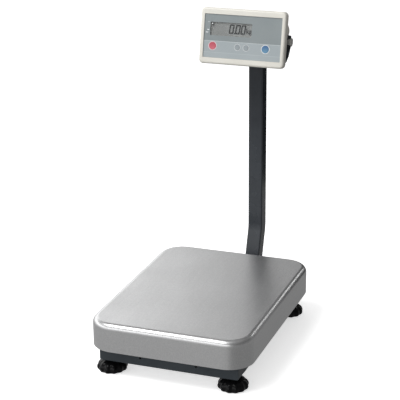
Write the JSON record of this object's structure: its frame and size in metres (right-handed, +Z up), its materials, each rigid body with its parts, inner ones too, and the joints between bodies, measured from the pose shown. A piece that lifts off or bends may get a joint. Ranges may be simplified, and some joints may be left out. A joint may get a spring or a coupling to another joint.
{
  "type": "bench scale",
  "caption": "Bench scale: stainless steel pan on a low steel frame with levelling feet, and a tilting display head on a bent mast behind it.",
  "frame": {"origin": "on the floor, at the centre of the whole object's footprint", "axes": "+Z up; the user stands at -Y and reads the display; +X is on the user's right"},
  "size_m": [0.39, 0.7034, 0.7544],
  "materials": {
    "pan_steel": "brushed stainless steel, satin",
    "frame_paint": "charcoal baked paint, satin",
    "mast_paint": "charcoal powder coat, fine texture, satin",
    "zinc_steel": "bright zinc plate",
    "aluminium": "clear anodised, machined",
    "foot_plastic": "moulded black, glossy",
    "pad_rubber": "black rubber, matt",
    "black_plastic": "moulded black, satin",
    "housing_plastic": "moulded warm off-white, fine texture",
    "overlay_film": "printed polyester film, fine matt grain",
    "window_plastic": "clear plastic window, glossy",
    "lcd_glass": "reflective liquid crystal glass, grey",
    "board_green": "green circuit board lacquer",
    "knob_grey": "moulded light grey",
    "key_red": "red key, satin",
    "key_grey": "grey key, satin",
    "key_blue": "blue key, satin",
    "vial_glass": "spirit level vial, pale green"
  },
  "bodies": {
    "base": {"bracket_bolt_left": "zinc_steel", "bracket_bolt_right": "zinc_steel", "cross_beam": "frame_paint", "display_bracket": "mast_paint", "display_bracket_screw_left": "zinc_steel", "display_bracket_screw_right": "zinc_steel", "front_foot_plate": "frame_paint", "front_rail": "frame_paint", "head_block": "mast_paint", "left_rail": "frame_paint", "level_holder": "black_plastic", "level_vial": "vial_glass", "load_beam_left": "frame_paint", "load_beam_right": "frame_paint", "load_cell": "aluminium", "load_cell_bottom_bolt_left": "zinc_steel", "load_cell_bottom_bolt_right": "zinc_steel", "load_cell_bottom_spacer": "zinc_steel", "load_cell_top_bolt_left": "zinc_steel", "load_cell_top_bolt_right": "zinc_steel", "load_cell_top_spacer": "zinc_steel", "load_plate": "frame_paint", "mast": "mast_paint", "mast_bolt_lower": "zinc_steel", "mast_bolt_upper": "zinc_steel", "mast_bracket": "mast_paint", "overload_stop_front_left": "zinc_steel", "overload_stop_front_right": "zinc_steel", "overload_stop_rear_left": "zinc_steel", "overload_stop_rear_right": "zinc_steel", "pan_pad_front_left": "pad_rubber", "pan_pad_front_right": "pad_rubber", "pan_pad_rear_left": "pad_rubber", "pan_pad_rear_right": "pad_rubber", "rear_foot_plate": "frame_paint", "rear_rail": "frame_paint", "right_rail": "frame_paint"},
    "pan": {"pan": "pan_steel"},
    "display": {"front_housing": "housing_plastic", "rear_housing": "housing_plastic", "overlay_panel": "overlay_film", "display_window": "window_plastic", "lcd_module": "lcd_glass", "circuit_board": "board_green", "adapter_jack": "black_plastic", "cable_gland": "black_plastic"},
    "tilt_knob_left": {"tilt_knob_left": "knob_grey"},
    "tilt_knob_right": {"tilt_knob_right": "knob_grey"},
    "red_key": {"red_key": "key_red"},
    "left_grey_key": {"left_grey_key": "key_grey"},
    "right_grey_key": {"right_grey_key": "key_grey"},
    "blue_key": {"blue_key": "key_blue"},
    "foot_stud_front_left": {"foot_stud_front_left": "zinc_steel"},
    "foot_knob_front_left": {"foot_knob_front_left": "foot_plastic"},
    "foot_stud_front_right": {"foot_stud_front_right": "zinc_steel"},
    "foot_knob_front_right": {"foot_knob_front_right": "foot_plastic"},
    "foot_stud_rear_left": {"foot_stud_rear_left": "zinc_steel"},
    "foot_knob_rear_left": {"foot_knob_rear_left": "foot_plastic"},
    "foot_stud_rear_right": {"foot_stud_rear_right": "zinc_steel"},
    "foot_knob_rear_right": {"foot_knob_rear_right": "foot_plastic"}
  },
  "joints": [
    {"name": "pan_lift", "type": "slide", "parent": "base", "child": "pan", "axis": [0, 0, 1], "range_m": [0, 0.15]},
    {"name": "display_tilt", "type": "hinge", "parent": "base", "child": "display", "pos_m": [0, 0.24525, 0.674], "axis": [-1, 0, 0], "range_deg": [-11.7, 33]},
    {"name": "tilt_knob_left_turn", "type": "hinge", "parent": "display", "child": "tilt_knob_left", "pos_m": [-0.11, 0.24525, 0.674], "axis": [-1, 0, 0], "continuous": true},
    {"name": "tilt_knob_right_turn", "type": "hinge", "parent": "display", "child": "tilt_knob_right", "pos_m": [0.11, 0.24525, 0.674], "axis": [1, 0, 0], "continuous": true},
    {"name": "red_key_press", "type": "slide", "parent": "display", "child": "red_key", "axis": [0, 0.9792, -0.2028], "range_m": [0, 0.0006], "stiffness_N_per_m": 2000},
    {"name": "left_grey_key_press", "type": "slide", "parent": "display", "child": "left_grey_key", "axis": [0, 0.9792, -0.2028], "range_m": [0, 0.0006], "stiffness_N_per_m": 2000},
    {"name": "right_grey_key_press", "type": "slide", "parent": "display", "child": "right_grey_key", "axis": [0, 0.9792, -0.2028], "range_m": [0, 0.0006], "stiffness_N_per_m": 2000},
    {"name": "blue_key_press", "type": "slide", "parent": "display", "child": "blue_key", "axis": [0, 0.9792, -0.2028], "range_m": [0, 0.0006], "stiffness_N_per_m": 2000},
    {"name": "foot_front_left_height", "type": "slide", "parent": "base", "child": "foot_stud_front_left", "axis": [0, 0, 1], "range_m": [-0.012, 0.003]},
    {"name": "foot_front_left_turn", "type": "hinge", "parent": "foot_stud_front_left", "child": "foot_knob_front_left", "pos_m": [-0.1485, -0.30545, 0], "axis": [0, 0, 1], "range_deg": [-2881, 721]},
    {"name": "foot_front_right_height", "type": "slide", "parent": "base", "child": "foot_stud_front_right", "axis": [0, 0, 1], "range_m": [-0.012, 0.003]},
    {"name": "foot_front_right_turn", "type": "hinge", "parent": "foot_stud_front_right", "child": "foot_knob_front_right", "pos_m": [0.1485, -0.30545, 0], "axis": [0, 0, 1], "range_deg": [-2881, 721]},
    {"name": "foot_rear_left_height", "type": "slide", "parent": "base", "child": "foot_stud_rear_left", "axis": [0, 0, 1], "range_m": [-0.012, 0.003]},
    {"name": "foot_rear_left_turn", "type": "hinge", "parent": "foot_stud_rear_left", "child": "foot_knob_rear_left", "pos_m": [-0.1485, 0.13195, 0], "axis": [0, 0, 1], "range_deg": [-2881, 721]},
    {"name": "foot_rear_right_height", "type": "slide", "parent": "base", "child": "foot_stud_rear_right", "axis": [0, 0, 1], "range_m": [-0.012, 0.003]},
    {"name": "foot_rear_right_turn", "type": "hinge", "parent": "foot_stud_rear_right", "child": "foot_knob_rear_right", "pos_m": [0.1485, 0.13195, 0], "axis": [0, 0, 1], "range_deg": [-2881, 721]}
  ],
  "couplings": [
    {"joint": "foot_front_left_turn", "follows": "foot_front_left_height", "rad_per_m": 4188.8},
    {"joint": "foot_front_right_turn", "follows": "foot_front_right_height", "rad_per_m": 4188.8},
    {"joint": "foot_rear_left_turn", "follows": "foot_rear_left_height", "rad_per_m": 4188.8},
    {"joint": "foot_rear_right_turn", "follows": "foot_rear_right_height", "rad_per_m": 4188.8}
  ]
}
